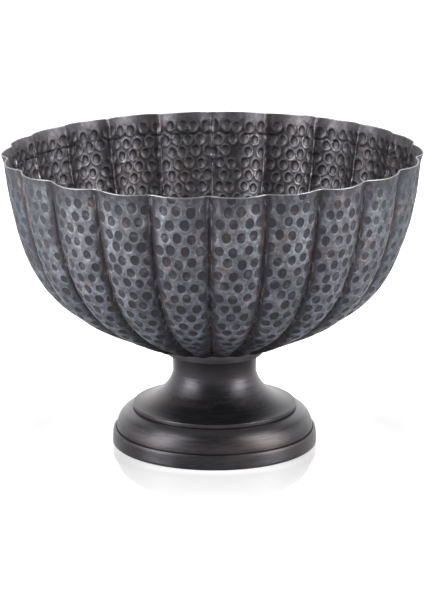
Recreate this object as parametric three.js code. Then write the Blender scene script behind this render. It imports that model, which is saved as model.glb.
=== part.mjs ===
// Fluted, punch-hammered copper bowl on a spun pedestal foot.
// Millimetres, +Z up, origin at the middle of the foot's bottom edge.
// Azimuth is counted from the front (-Y) towards +X.
import * as THREE from 'three';

// ---- bowl ----------------------------------------------------------------
const SHEET = 1.5; // wall of the bowl
const FLUTES = 22;
const BOWL_FLOOR_Z = 97.8; // underside of the flat floor
const BOWL_FLOOR_R = 44;
const RIM_Z = 284.4;
const RIM_R = 200.6; // at the crest of a flute
const LIP_HEIGHT = 6.5; // the top of the wall turns out over this height
const FLUTE_DEPTH_RIM = 5.8;
const FLUTE_DEPTH_BELLY = 6.6;
const FLUTE_DEPTH_BASE = 5.0;
const FLUTE_START_R = 50; // the flutes grow out of the round bottom from here
const FLUTE_FULL_R = 80;
const FLUTE_SHARPNESS = 2.4; // the higher, the flatter the lobe and the tighter the seam
const SEAM_ROUNDING = 0.03; // share of the half flute over which the seam itself is rounded
const SEAM_RISE = 1.0; // the edge stands a little higher at each seam
// Crest outline of the wall, a cubic curve in (radius, height).
const WALL_CURVE = [[67.5, 100.7], [137.6, 131.2], [187.3, 145.9], [198.3, 284.4]];

// ---- foot ----------------------------------------------------------------
const SPUN = 1.3; // sheet of the spun foot pieces
const GAP = 0.3; // between pieces that touch
const COLLAR_TOP_Z = BOWL_FLOOR_Z - GAP;
const COLLAR_BOTTOM_Z = 88.9;
const COLLAR_TOP_R = 48;
const COLLAR_BOTTOM_R = 46.6;
const COLLAR_LEDGE_Z = 93; // the stem's top edge bears up against this ledge
const STEM_TOP_R = 40.9;
const WAIST_R = 40.2;
const WAIST_Z = 72.7;
// Outline of the flare from the waist to the lip, a cubic curve in (radius, height).
const FLARE_CURVE = [[WAIST_R, WAIST_Z], [WAIST_R, 60.8], [54.8, 42.85], [76.5, 38.9]];
const LIP_R = 78.9;
const LIP_TOP_Z = 38.9;
const LIP_BOTTOM_Z = 34.6;
const SKIRT_R = 94.9;
const BASE_R = 98.8;
const BASE_HEIGHT = 14.6;

// ---- fastening under the bowl -------------------------------------------
const STUD_R = 4; // M8
const HOLE_R = 4.4;
const DISC_R = 34;
const DISC_THICKNESS = 2.5;
const PLATE_TOP_Z = 66;
const PLATE_THICKNESS = 2;
const WASHER_THICKNESS = 1.6;
const SPRING_THICKNESS = 2;
const NUT_HEIGHT = 6.5;
const NUT_ACROSS_FLATS = 13;

const ROUND_SEGMENTS = 48;
const SMALL_SEGMENTS = 36;

const DEG = Math.PI / 180;

// ---- helpers -------------------------------------------------------------

function material(color, roughness, metalness) {
  return new THREE.MeshStandardMaterial({ color, roughness, metalness });
}

function darkCopper() {
  return material(0x4a4648, 0.42, 0.95);
}

function spunCopper() {
  return material(0x3a3636, 0.36, 0.95);
}

function bareCopper() {
  return material(0x8a5a42, 0.5, 0.9);
}

function plainSteel() {
  return material(0x9a9a9c, 0.4, 0.9);
}

function named(name, geometry, look) {
  const mesh = new THREE.Mesh(geometry, look);
  mesh.name = name;
  return mesh;
}

function cubic(curve, t) {
  const s = 1 - t;
  const weights = [s * s * s, 3 * s * s * t, 3 * s * t * t, t * t * t];
  return [0, 1].map((axis) => weights.reduce((sum, w, k) => sum + w * curve[k][axis], 0));
}

function cubicPoints(curve, count, tEnd = 1) {
  return Array.from({ length: count + 1 }, (_, k) => cubic(curve, (k / count) * tEnd));
}

// A turned or spun ring: the outline is (radius, height) pairs, counter-clockwise.
function turned(outline, segments = ROUND_SEGMENTS) {
  const points = outline.map(([r, z]) => new THREE.Vector2(r, z));
  if (outline[0][0] > 0) {
    points.push(points[0].clone());
  }
  return new THREE.LatheGeometry(points, segments).rotateX(Math.PI / 2);
}

// Unit normals of an open outline, pointing to the left of its direction.
function leftNormals(outline) {
  return outline.map((_, k) => {
    const [r0, z0] = outline[Math.max(k - 1, 0)];
    const [r1, z1] = outline[Math.min(k + 1, outline.length - 1)];
    const length = Math.hypot(r1 - r0, z1 - z0);
    return [-(z1 - z0) / length, (r1 - r0) / length];
  });
}

function offset(outline, distance) {
  const normals = leftNormals(outline);
  return outline.map(([r, z], k) => [r + normals[k][0] * distance, z + normals[k][1] * distance]);
}

// ---- bowl ----------------------------------------------------------------

// The seams were chased by hand, so they drift a little from an even spacing.
function seamAngle(index) {
  const even = (index * 360) / FLUTES;
  const fromDrift = ((even - 45 + 540) % 360) - 180;
  const drift = -3.4 * Math.exp(-((fromDrift / 38) ** 2));
  return even + drift;
}

// Crest outline of the bowl's outside, from the flat floor to the edge.
function bowlOutline(wallRows) {
  const floor = [[BOWL_FLOOR_R, BOWL_FLOOR_Z], [52, BOWL_FLOOR_Z + 0.2], [60, BOWL_FLOOR_Z + 1.3]];
  const wallTop = 0.965; // the lip starts here on the wall's curve
  const wall = cubicPoints(WALL_CURVE, wallRows, wallTop);
  const lip = [[RIM_R - 2.2, RIM_Z - LIP_HEIGHT / 2], [RIM_R, RIM_Z]];
  return [...floor, ...wall, ...lip];
}

// How far a seam is set in from the crest, at a crest radius and height.
function fluteDepth(radius, height) {
  const fromBottom = THREE.MathUtils.smoothstep(radius, FLUTE_START_R, FLUTE_FULL_R);
  const toBelly = THREE.MathUtils.smoothstep(height, 100, 150);
  const toRim = THREE.MathUtils.smoothstep(height, 190, RIM_Z);
  return FLUTE_DEPTH_BASE * fromBottom
    + (FLUTE_DEPTH_BELLY - FLUTE_DEPTH_BASE) * toBelly
    + (FLUTE_DEPTH_RIM - FLUTE_DEPTH_BELLY) * toRim;
}

// Columns round the bowl: the azimuth, how deep that column sits and how much of the edge's rise
// it takes (both 1 at a seam and 0 at a crest).
function bowlColumns() {
  const places = [0, 0.09, 0.25, 0.5, 0.75, 0.91];
  const columns = [];
  for (let flute = 0; flute < FLUTES; flute += 1) {
    const from = seamAngle(flute);
    const to = flute + 1 < FLUTES ? seamAngle(flute + 1) : seamAngle(0) + 360;
    for (const place of places) {
      const fromSeam = 1 - Math.abs(1 - 2 * place);
      const rounded = Math.hypot(fromSeam, SEAM_ROUNDING) - SEAM_ROUNDING;
      columns.push({
        angle: (from + (to - from) * place) * DEG,
        sink: (1 - rounded) ** FLUTE_SHARPNESS,
        rise: (1 + Math.cos(Math.PI * fromSeam)) / 2,
      });
    }
  }
  return columns;
}

// One closed skin: the outside from the floor to the edge, then the inside back down.
function bowlGeometry() {
  const outside = bowlOutline(7);
  const inward = leftNormals(outside);
  // The lip is set in level, so that the edge stays at one height apart from the seams' rise.
  inward[inward.length - 1] = [-1, 0];
  inward[inward.length - 2] = [-1, 0];
  const rows = outside.map(([r, z], k) => ({ r, z, normal: inward[k], depth: fluteDepth(r, z) }));
  const insideRows = rows.map((row) => ({
    ...row,
    r: row.r + row.normal[0] * SHEET,
    z: row.z + row.normal[1] * SHEET,
  }));
  const loop = [...rows, ...insideRows.reverse()];
  const columns = bowlColumns();

  const positions = [];
  for (const row of loop) {
    const edgeShare = THREE.MathUtils.smoothstep(row.z, RIM_Z - 60, RIM_Z);
    for (const column of columns) {
      const inset = row.depth * column.sink;
      const r = row.r + row.normal[0] * inset;
      const z = row.z + row.normal[1] * inset + SEAM_RISE * edgeShare * column.rise;
      positions.push(r * Math.sin(column.angle), -r * Math.cos(column.angle), z);
    }
  }
  const underside = positions.length / 3;
  positions.push(0, 0, BOWL_FLOOR_Z);
  const floorTop = underside + 1;
  positions.push(0, 0, BOWL_FLOOR_Z + SHEET);

  const count = columns.length;
  const faces = [];
  for (let k = 0; k < count; k += 1) {
    const next = (k + 1) % count;
    faces.push(underside, next, k);
    const last = (loop.length - 1) * count;
    faces.push(floorTop, last + k, last + next);
    for (let row = 0; row < loop.length - 1; row += 1) {
      const low = row * count;
      const high = low + count;
      faces.push(low + k, low + next, high + next);
      faces.push(low + k, high + next, high + k);
    }
  }
  const geometry = new THREE.BufferGeometry();
  geometry.setAttribute('position', new THREE.Float32BufferAttribute(positions, 3));
  geometry.setIndex(faces);
  geometry.computeVertexNormals();
  return geometry;
}

function bowl() {
  return named('bowl', bowlGeometry(), darkCopper());
}

// ---- pieces between the bowl and the foot ---------------------------------

// Backing disc brazed under the bowl's floor; it spreads the stud's pull.
function backingDisc() {
  const bottom = COLLAR_TOP_Z - DISC_THICKNESS;
  return named('backing_disc', turned([
    [0, bottom], [DISC_R - 0.8, bottom], [DISC_R, bottom + 0.8], [DISC_R, COLLAR_TOP_Z], [0, COLLAR_TOP_Z],
  ], SMALL_SEGMENTS), bareCopper());
}

// Headed stud brazed to the disc; the foot is pulled up on it.
function stud() {
  const headTop = COLLAR_TOP_Z - DISC_THICKNESS - GAP;
  const tip = 49;
  return named('stud', turned([
    [0, tip], [STUD_R - 0.8, tip], [STUD_R, tip + 0.8], [STUD_R, headTop - 2.5],
    [9, headTop - 2.5], [9, headTop], [0, headTop],
  ], 24), plainSteel());
}

// Turned collar that the bowl's floor sits on; the stem's top fits up inside it.
function neckCollar() {
  const bore = STEM_TOP_R + GAP;
  return named('neck_collar', turned([
    [bore, COLLAR_BOTTOM_Z], [COLLAR_BOTTOM_R - 0.6, COLLAR_BOTTOM_Z],
    [COLLAR_BOTTOM_R, COLLAR_BOTTOM_Z + 0.7], [COLLAR_TOP_R - 0.4, 93.6], [COLLAR_TOP_R, COLLAR_TOP_Z],
    [37.5, COLLAR_TOP_Z], [37.5, COLLAR_LEDGE_Z], [bore, COLLAR_LEDGE_Z],
  ]), spunCopper());
}

// ---- foot ----------------------------------------------------------------

// Spun stem: neck, flare and a hemmed lip that overhangs the skirt.
function stem() {
  const top = COLLAR_LEDGE_Z - GAP;
  const neck = [[STEM_TOP_R, top], [STEM_TOP_R, 87.5], [40.4, 82]];
  const outside = [...neck, ...cubicPoints(FLARE_CURVE, 6)];
  const inside = offset(outside, -SPUN).slice(0, -1).reverse();
  const lip = [
    [LIP_R - 0.7, LIP_TOP_Z - 0.45], [LIP_R, LIP_TOP_Z - 1.4], [LIP_R, LIP_BOTTOM_Z + 1],
    [LIP_R - 1, LIP_BOTTOM_Z], [LIP_R - 3.4, LIP_BOTTOM_Z], [LIP_R - 4, LIP_BOTTOM_Z + 1.4],
  ];
  const outline = [...outside, ...lip, ...inside];
  return named('stem', turned(outline.reverse()), spunCopper());
}

// Skirt: flange under the stem's lip, then a quarter-round down inside the base ring.
function footSkirt() {
  const flangeZ = LIP_BOTTOM_Z - GAP;
  const outside = [
    [SKIRT_R, 0.6], [SKIRT_R, 15], [94.3, 19], [92.6, 23], [90.2, 26.6], [87, 30],
    [83.6, 32.9], [80, flangeZ],
  ];
  const flange = [[71, flangeZ], [71, flangeZ - SPUN]];
  const inside = offset(outside, SPUN).reverse();
  inside[inside.length - 1] = [SKIRT_R - SPUN, 0.6];
  return named('foot_skirt', turned([...outside, ...flange, ...inside]), spunCopper());
}

// Flat-bottomed band round the skirt's lower edge; the whole bowl stands on it.
function baseRing() {
  const bore = SKIRT_R + GAP;
  return named('base_ring', turned([
    [bore, 0], [BASE_R - 0.6, 0], [BASE_R, 1.2], [BASE_R - 0.2, 5], [98.1, 12],
    [97.5, BASE_HEIGHT - 0.9], [96.5, BASE_HEIGHT - 0.1], [bore, BASE_HEIGHT],
  ]), spunCopper());
}

// ---- clamp inside the stem ------------------------------------------------

// Dished plate that bears up against the stem just below its waist.
function clampPlate() {
  const bottom = PLATE_TOP_Z - PLATE_THICKNESS;
  return named('clamp_plate', turned([
    [HOLE_R, bottom], [33.6, bottom], [37.4, bottom - 0.7], [39.9, 61.7], [40.9, 62.2], [40.6, 63.2],
    [37.9, PLATE_TOP_Z - 0.6], [34, PLATE_TOP_Z], [HOLE_R, PLATE_TOP_Z],
  ], SMALL_SEGMENTS), plainSteel());
}

function flatWasher() {
  const top = PLATE_TOP_Z - PLATE_THICKNESS - GAP;
  const bottom = top - WASHER_THICKNESS;
  return named('flat_washer', turned([
    [HOLE_R, bottom], [11.6, bottom], [12, bottom + 0.4], [12, top], [HOLE_R, top],
  ], SMALL_SEGMENTS), plainSteel());
}

// Split spring washer: a square wire wound just short of one turn, its ends slightly apart.
function springWasher() {
  const top = PLATE_TOP_Z - PLATE_THICKNESS - WASHER_THICKNESS - 2 * GAP;
  const bottom = top - SPRING_THICKNESS - 0.4;
  const steps = 30;
  const sweep = 345 * DEG;
  const section = [[HOLE_R, 0], [7.2, 0], [7.2, SPRING_THICKNESS], [HOLE_R, SPRING_THICKNESS]];
  const positions = [];
  for (let k = 0; k <= steps; k += 1) {
    const angle = (sweep * k) / steps;
    const rise = (0.4 * k) / steps;
    for (const [r, z] of section) {
      positions.push(r * Math.cos(angle), r * Math.sin(angle), bottom + rise + z);
    }
  }
  const faces = [0, 1, 2, 0, 2, 3];
  for (let k = 0; k < steps; k += 1) {
    for (let side = 0; side < 4; side += 1) {
      const a = k * 4 + side;
      const b = k * 4 + ((side + 1) % 4);
      faces.push(a, b + 4, b, a, a + 4, b + 4);
    }
  }
  const last = steps * 4;
  faces.push(last, last + 2, last + 1, last, last + 3, last + 2);
  const geometry = new THREE.BufferGeometry();
  geometry.setAttribute('position', new THREE.Float32BufferAttribute(positions, 3));
  geometry.setIndex(faces);
  geometry.computeVertexNormals();
  return named('spring_washer', geometry, plainSteel());
}

function hexNut() {
  const top = PLATE_TOP_Z - PLATE_THICKNESS - WASHER_THICKNESS - SPRING_THICKNESS - 0.4 - 3 * GAP;
  const corner = NUT_ACROSS_FLATS / 2 / Math.cos(30 * DEG);
  const hexagon = new THREE.Shape();
  for (let k = 0; k < 6; k += 1) {
    const angle = k * 60 * DEG;
    const move = k === 0 ? 'moveTo' : 'lineTo';
    hexagon[move](corner * Math.cos(angle), corner * Math.sin(angle));
  }
  const hole = new THREE.Path();
  hole.absarc(0, 0, STUD_R + GAP, 0, 2 * Math.PI, true);
  hexagon.closePath();
  hexagon.holes.push(hole);
  const geometry = new THREE.ExtrudeGeometry(hexagon, {
    depth: NUT_HEIGHT, bevelEnabled: false, curveSegments: 12,
  });
  geometry.translate(0, 0, top - NUT_HEIGHT);
  return named('hex_nut', geometry, plainSteel());
}

const part = new THREE.Group();
part.name = 'hammered_copper_bowl';
part.add(
  bowl(), backingDisc(), stud(), neckCollar(), stem(), footSkirt(), baseRing(),
  clampPlate(), flatWasher(), springWasher(), hexNut(),
);

export default part;
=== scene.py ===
import math
import random

import bpy
import numpy as np
from mathutils import Matrix, Vector
from mathutils.geometry import delaunay_2d_cdt


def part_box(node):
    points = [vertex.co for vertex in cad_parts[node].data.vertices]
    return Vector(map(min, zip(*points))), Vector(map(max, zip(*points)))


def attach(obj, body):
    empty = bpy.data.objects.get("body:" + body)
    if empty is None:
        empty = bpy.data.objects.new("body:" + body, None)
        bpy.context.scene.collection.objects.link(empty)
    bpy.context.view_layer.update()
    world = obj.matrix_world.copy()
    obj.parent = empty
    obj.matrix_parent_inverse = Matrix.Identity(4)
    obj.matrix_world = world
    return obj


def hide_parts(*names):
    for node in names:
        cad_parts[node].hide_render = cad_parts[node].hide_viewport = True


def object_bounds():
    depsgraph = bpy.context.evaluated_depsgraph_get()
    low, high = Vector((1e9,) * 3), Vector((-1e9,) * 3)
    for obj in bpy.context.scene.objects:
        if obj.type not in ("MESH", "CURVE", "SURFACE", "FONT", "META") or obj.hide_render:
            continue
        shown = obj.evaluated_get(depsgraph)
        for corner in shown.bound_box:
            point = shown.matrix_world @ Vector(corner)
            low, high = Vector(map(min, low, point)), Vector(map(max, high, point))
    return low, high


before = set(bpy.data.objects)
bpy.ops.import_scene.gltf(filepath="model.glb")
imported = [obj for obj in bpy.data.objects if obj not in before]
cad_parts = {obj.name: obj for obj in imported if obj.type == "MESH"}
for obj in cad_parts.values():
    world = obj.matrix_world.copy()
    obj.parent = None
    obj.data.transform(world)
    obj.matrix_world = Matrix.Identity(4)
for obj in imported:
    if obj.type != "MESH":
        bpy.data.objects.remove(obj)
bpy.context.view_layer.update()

MM = 0.001

# ---- camera ----
CAMERA_PLACE = (-0.0025, -2.7753, 0.8653)
CAMERA_PITCH = 14.645  # degrees below level
CAMERA_LENS = 179.2  # millimetres on a 36 mm sensor

# ---- bowl, in millimetres above its floor ----
FLUTES = 22
FLOOR_R = 44.0
RIM_R = 200.6
RIM_RISE = 186.6  # from the floor's underside to the edge at a crest
SHEET = 1.4
FLOOR_TURN = ((FLOOR_R, 0.0), (48.0, 0.02), (52.0, 0.2), (56.0, 0.6), (60.0, 1.3), (63.5, 2.0))
WALL_CURVE = ((67.5, 2.9), (137.6, 33.4), (187.3, 48.1), (198.3, 186.6))
LIP_START = 0.965  # share of the wall's curve after which the lip turns out
FLUTE_DEPTH_BASE = 5.0
FLUTE_DEPTH_BELLY = 1.6  # added to it on the way up
FLUTE_DEPTH_RIM = 0.8  # and this much taken off again at the edge
FLUTE_SHARPNESS = 2.4  # the higher, the flatter the lobe and the tighter the seam
SEAM_DRIFT = 3.4  # degrees by which the seams round DRIFT_MIDDLE lie off an even spacing
DRIFT_MIDDLE = 45.0  # degrees
DRIFT_REACH = 38.0  # degrees
SEAM_RISE = 1.0  # the edge stands a little higher at each seam
SEAM_GROOVE = 1.0
SEAM_LIP = 0.35  # small ridges that the chasing tool raised on both sides of a seam
HAND_WAVE = 0.45  # slow unevenness of hand work
EDGE_WAVE = 0.35  # and of the edge's height
CREASE_DEPTH = 0.55  # of the line round the inside under the plain band
CREASE_DROP = 20.5
MARK_HALF_WIDTH = 4.6
MARK_HALF_HEIGHT = 5.4
MARK_DEPTH = 0.55
ROW_PITCH = 12.4
MARK_PITCH = 13.2
MARK_CLEARANCE = (9.9, 11.2)  # no two marks lie closer than this, across and up
EDGE_MARK_CLEARANCE = (9.0, 11.0)
PLAIN_BAND = 14.0  # the first full row of marks lies this far below the edge
BOWL_LEAN = 0.35  # degrees, top towards -X: the bowl sits a little askew on its collar
BOWL_SHIFT = -1.2  # towards -X

# ---- mesh of one flute's flat pattern ----
SEAM_STEPS = 124
TOP_STEPS = 22
BOTTOM_STEPS = 8
SEAM_COLUMNS = (0.9, 2.0, 3.1)  # lines of points beside each seam, millimetres away
EDGE_ROWS = (1.6, 3.6)  # and below the edge
MARK_RINGS = ((0.0, 1), (0.45, 7), (0.80, 12), (1.04, 15), (1.28, 15))  # share of size, points
RING_MARGIN = (3.9, 4.6)  # no ring points this near to a seam, to the edge
FILL_MARGIN = (4.6, 5.2)  # and no filling points
FILL_CLEARANCE = 1.48  # share of a mark's size round it without filling
FILL_SPACING = 3.0
ROW_SHARE = 0.866  # row spacing of a triangular grid

# ---- foot, radii in millimetres ----
SPUN = 1.3  # sheet of the spun pieces
GAP = 0.3  # between pieces that touch
STEM_TOP_R = 40.9
WAIST_R = 40.2
WAIST_DROP = 20.0  # below the stem's top
LIP_R = 78.9
LIP_HEM_R = 76.4
SKIRT_R = 94.9
BASE_R = 98.8
COLLAR_TOP_R = 48.0
STUD_R = 4.0  # M8
THREAD_PITCH = 1.25
HOLE_R = 4.4
DISC_R = 34.0
WASHER_R = 12.0
NUT_ACROSS_FLATS = 13.0

rng = random.Random(22)


# ---- mesh helpers ----

def smoothstep(low, high, value):
    """0 below the low value, 1 above the high one, smooth between."""
    t = np.clip((np.asarray(value, float) - low) / (high - low), 0.0, 1.0)
    return t * t * (3 - 2 * t)


def cubic(curve, t):
    """Points at each t on a cubic curve with four control points."""
    p = np.array(curve, float)
    t = np.asarray(t, float)[:, None]
    s = 1 - t
    return s ** 3 * p[0] + 3 * s * s * t * p[1] + 3 * s * t * t * p[2] + t ** 3 * p[3]


def resampled(outline, spacing):
    """The same open outline with points an even arc length apart."""
    p = np.array(outline, float)
    run = np.concatenate([[0], np.cumsum(np.hypot(*np.diff(p, axis=0).T))])
    count = max(2, int(round(run[-1] / spacing)) + 1)
    at = np.linspace(0, run[-1], count)
    return np.column_stack([np.interp(at, run, p[:, k]) for k in (0, 1)]), at


def make_mesh(name, verts_mm, faces, materials):
    mesh = bpy.data.meshes.new(name)
    mesh.from_pydata((np.asarray(verts_mm) * MM).tolist(), [], faces)
    mesh.update()
    mesh.polygons.foreach_set("use_smooth", [True] * len(mesh.polygons))
    for look in materials:
        mesh.materials.append(look)
    obj = bpy.data.objects.new(name, mesh)
    bpy.context.scene.collection.objects.link(obj)
    return obj


def ready(obj, slot, *nodes):
    """The piece rides on the only body and stands for its CAD nodes; slot is not used."""
    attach(obj, "root")
    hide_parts(*nodes)
    return obj


def bell(value, width):
    return np.exp(-((value / width) ** 2))


def unit_slope(outline):
    slope = np.gradient(outline, axis=0)
    return slope / np.linalg.norm(slope, axis=1)[:, None]


def offset_sheet(outside, thickness):
    """A sheet's other face: the outline moved to its right-hand side."""
    slope = unit_slope(outside)
    return outside + thickness * np.column_stack([slope[:, 1], -slope[:, 0]])


def pairs_round(ring):
    """Each item with the next, the last with the first."""
    return zip(ring, ring[1:] + ring[:1])


def strip(low, high):
    """Quads between two closed rows of as many points, corners that coincide left out."""
    faces = []
    for (a, b), (d, c) in zip(pairs_round(low), pairs_round(high)):
        corners = [a, b, c, d]
        faces.append([v for i, v in enumerate(corners) if v != corners[i - 1]])
    return faces


def crisp_mesh(name, verts_mm, faces, look, degrees):
    obj = make_mesh(name, verts_mm, faces, [look])
    sharpen(obj, degrees)
    return obj


def fillet(corner, before, after, radius, steps=5):
    """Points that round the corner between two straight stretches of an outline."""
    c, a, b = (np.array(p, float) for p in (corner, before, after))
    u = (a - c) / np.linalg.norm(a - c)
    v = (b - c) / np.linalg.norm(b - c)
    half = math.acos(max(-1.0, min(1.0, float(u @ v)))) / 2
    reach = min(radius / math.tan(half), 0.45 * np.linalg.norm(a - c), 0.45 * np.linalg.norm(b - c))
    start, end = c + u * reach, c + v * reach
    points = []
    for k in range(steps + 1):
        t = k / steps
        points.append(tuple((1 - t) ** 2 * start + 2 * t * (1 - t) * c + t * t * end))
    return points


def rounded(outline, radii, closed=True):
    """An outline with each corner rounded; a radius of 0 keeps the corner."""
    count = len(outline)
    points = []
    for k, corner in enumerate(outline):
        inner = closed or 0 < k < count - 1
        if radii[k] > 0 and inner:
            before, after = outline[k - 1], outline[(k + 1) % count]
            points += fillet(corner, before, after, radii[k])
        else:
            points.append(tuple(corner))
    return points


CRISP_ANGLE = 40  # degrees


def turned(name, outline, look, segments=160, longest=2.5):
    """A ring turned from a closed outline of (radius, height), counter-clockwise, in millimetres."""
    loop = []
    for a, b in pairs_round(outline):
        steps = max(1, int(math.hypot(b[0] - a[0], b[1] - a[1]) / longest))
        loop += [(a[0] + (b[0] - a[0]) * i / steps, a[1] + (b[1] - a[1]) * i / steps) for i in range(steps)]
    angles = np.linspace(0, 2 * math.pi, segments, endpoint=False)
    verts, rows = [], []
    for r, z in loop:
        if r < 1e-6:
            rows.append([len(verts)] * segments)
            verts.append((0.0, 0.0, z))
        else:
            rows.append(list(range(len(verts), len(verts) + segments)))
            verts += [(r * math.sin(a), -r * math.cos(a), z) for a in angles]
    faces = []
    for low, high in pairs_round(rows):
        if low[0] != low[1] or high[0] != high[1]:
            faces += strip(low, high)
    return crisp_mesh(name, verts, faces, look, CRISP_ANGLE)


def sharpen(obj, degrees):
    """Edges that turn more than this stay crisp under smooth shading."""
    mesh = obj.data
    limit = math.radians(degrees)
    normals = np.empty(len(mesh.polygons) * 3)
    mesh.polygons.foreach_get("normal", normals)
    normals = normals.reshape(-1, 3)
    owners = {}
    for poly in mesh.polygons:
        for key in poly.edge_keys:
            owners.setdefault(key, []).append(poly.index)
    flags = []
    for edge in mesh.edges:
        pair = owners.get(edge.key, [])
        sharp = len(pair) == 2 and float(normals[pair[0]] @ normals[pair[1]]) < math.cos(limit)
        flags.append(sharp)
    mesh.edges.foreach_set("use_edge_sharp", flags)


# ---- materials ----

def set_range(node, *numbers):
    """From low to high, to low to high, in that order."""
    for name, number in zip(("From Min", "From Max", "To Min", "To Max"), numbers):
        node.inputs[name].default_value = number


class Nodes:
    """A short way to write a material's node tree."""

    def __init__(self, name):
        self.material = bpy.data.materials.new(name)
        self.material.use_nodes = True
        self.tree = self.material.node_tree
        self.tree.nodes.clear()
        out = self.new("OutputMaterial")
        self.bsdf = self.new("BsdfPrincipled")
        self.link(self.bsdf.outputs[0], out.inputs["Surface"])

    def new(self, kind):
        return self.tree.nodes.new("ShaderNode" + kind)

    def link(self, source, target):
        self.tree.links.new(source, target)

    def put(self, value, socket):
        if isinstance(value, bpy.types.NodeSocket):
            self.link(value, socket)
        else:
            socket.default_value = value

    def attribute(self, name):
        node = self.new("Attribute")
        node.attribute_name = name
        return node.outputs["Fac"]

    def wall_facts(self):
        """1 on a mark's outline and less inside it, mm from a seam, metres below the edge, place."""
        return self.attribute("mark"), self.attribute("seam"), self.attribute("drop"), self.position()

    def position(self):
        return self.new("TexCoord").outputs["Object"]

    def split(self, vector):
        node = self.new("SeparateXYZ")
        self.link(vector, node.inputs[0])
        return node.outputs

    def combine(self, x, y, z):
        node = self.new("CombineXYZ")
        for value, socket in zip((x, y, z), node.inputs):
            self.put(value, socket)
        return node.outputs[0]

    def radial(self):
        """(distance from the axis, height) as separate values, for marks left by turning."""
        x, y, z = self.split(self.position())
        return self.math("SQRT", self.plus(self.times(x, x), self.times(y, y))), z

    def math(self, operation, a, b=0.0, c=0.0, clamp=False):
        node = self.new("Math")
        node.operation = operation
        node.use_clamp = clamp
        for value, socket in zip((a, b, c), node.inputs):
            self.put(value, socket)
        return node.outputs[0]

    def chain(self, operation, values):
        result = values[0]
        for value in values[1:]:
            result = self.math(operation, result, value)
        return result

    def times(self, *values):
        return self.chain("MULTIPLY", values)

    def plus(self, *values):
        return self.chain("ADD", values)

    def most(self, *values):
        return self.chain("MAXIMUM", values)

    def scaled(self, value, gain, offset):
        return self.math("MULTIPLY_ADD", value, gain, offset)

    def limited(self, value):
        """The same value held between 0 and 1."""
        return self.math("ADD", value, clamp=True)

    def ramp(self, value, low, high, to_low=0.0, to_high=1.0):
        node = self.new("MapRange")
        node.interpolation_type = "SMOOTHSTEP"
        self.put(value, node.inputs["Value"])
        set_range(node, low, high, to_low, to_high)
        return node.outputs["Result"]

    def between(self, value, rise, fall):
        """1 between a rising and a falling soft edge, each given as (start, end)."""
        return self.times(self.ramp(value, *rise), self.ramp(value, *fall, 1.0, 0.0))

    def noise(self, vector, scale, detail=3.0, roughness=0.5):
        node = self.new("TexNoise")
        self.put(vector, node.inputs["Vector"])
        node.inputs["Scale"].default_value = scale
        node.inputs["Detail"].default_value = detail
        node.inputs["Roughness"].default_value = roughness
        return node.outputs["Fac"]

    def streaky(self, vector, scale, detail, roughness=0.5):
        """Noise with its own scale along each axis; a low one draws it out that way."""
        node = self.new("Mapping")
        self.put(vector, node.inputs["Vector"])
        node.inputs["Scale"].default_value = scale
        return self.noise(node.outputs["Vector"], 1.0, detail, roughness)

    def mix(self, factor, a, b):
        node = self.new("Mix")
        node.data_type = "RGBA"
        self.put(factor, node.inputs["Factor"])
        self.put(a, node.inputs[6])
        self.put(b, node.inputs[7])
        return node.outputs[2]

    def bump(self, height, strength, distance, normal=None):
        node = self.new("Bump")
        self.put(height, node.inputs["Height"])
        node.inputs["Strength"].default_value = strength
        node.inputs["Distance"].default_value = distance
        if normal is not None:
            self.link(normal, node.inputs["Normal"])
        return node.outputs["Normal"]

    def metal(self, color, metallic, roughness, normal):
        """Finish the surface and hand over the material."""
        self.put(color, self.bsdf.inputs["Base Color"])
        self.bsdf.inputs["Metallic"].default_value = metallic
        self.put(roughness, self.bsdf.inputs["Roughness"])
        self.put(normal, self.bsdf.inputs["Normal"])
        return self.material


def rgb(red, green, blue, tone=1.0):
    return (red * tone, green * tone, blue * tone, 1.0)


WHITE = rgb(1.0, 1.0, 1.0)
METALLIC = 0.9  # of all the blackened copper
# Outside of the bowl.
OUTSIDE_BLACK = rgb(0.024, 0.023, 0.028)
OUTSIDE_BROWN = rgb(0.050, 0.037, 0.036)
WIPED_HIGH = rgb(0.165, 0.171, 0.190)
WIPED_LOW = rgb(0.158, 0.167, 0.202)
# Painted sheen: colour of the lands towards both sides of the outside.
SIDE_SHEEN_GREY = rgb(0.085, 0.099, 0.119)
WIPED_WARM = rgb(0.190, 0.162, 0.165)
# Dark of the seams, and painted shade under the bowl.
SEAM_PATINA_AND_SHADE_BLACK = rgb(0.013, 0.010, 0.012)
# Inside of the bowl and its edge.
INSIDE_BLACK = rgb(0.029, 0.027, 0.030)
INSIDE_BROWN = rgb(0.038, 0.030, 0.029)
RUBBED_COOL = rgb(0.165, 0.162, 0.175)
RUBBED_WARM = rgb(0.176, 0.158, 0.162)
# Darkening towards +X of the inside, and painted shade in its crease.
INSIDE_DARKENING_BLACK = rgb(0.009, 0.008, 0.009)
EDGE_DARK = rgb(0.13, 0.13, 0.14)
EDGE_LIGHT = rgb(0.25, 0.248, 0.262)
# Foot, before each piece's tone, which makes the one finish lighter or darker per piece: painted light and
# shade.
SPUN_BLACK = (0.017, 0.016, 0.018)
SPUN_BROWN = (0.027, 0.020, 0.018)
SPUN_GREY = (0.037, 0.036, 0.040)
SPUN_WARM = (0.043, 0.036, 0.035)
# Painted highlight along the stem's lip.
LIP_HIGHLIGHT_GREY = rgb(0.088, 0.085, 0.090)
# Painted shade on the neck under the collar.
COLLAR_SHADOW_BLACK = rgb(0.010, 0.009, 0.010)
# Fastening.
COPPER_CLEAN = rgb(0.55, 0.27, 0.17)
COPPER_DULL = rgb(0.20, 0.12, 0.09)
ZINC_LIGHT = rgb(0.58, 0.59, 0.60)
ZINC_DARK = rgb(0.42, 0.42, 0.41)


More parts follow.
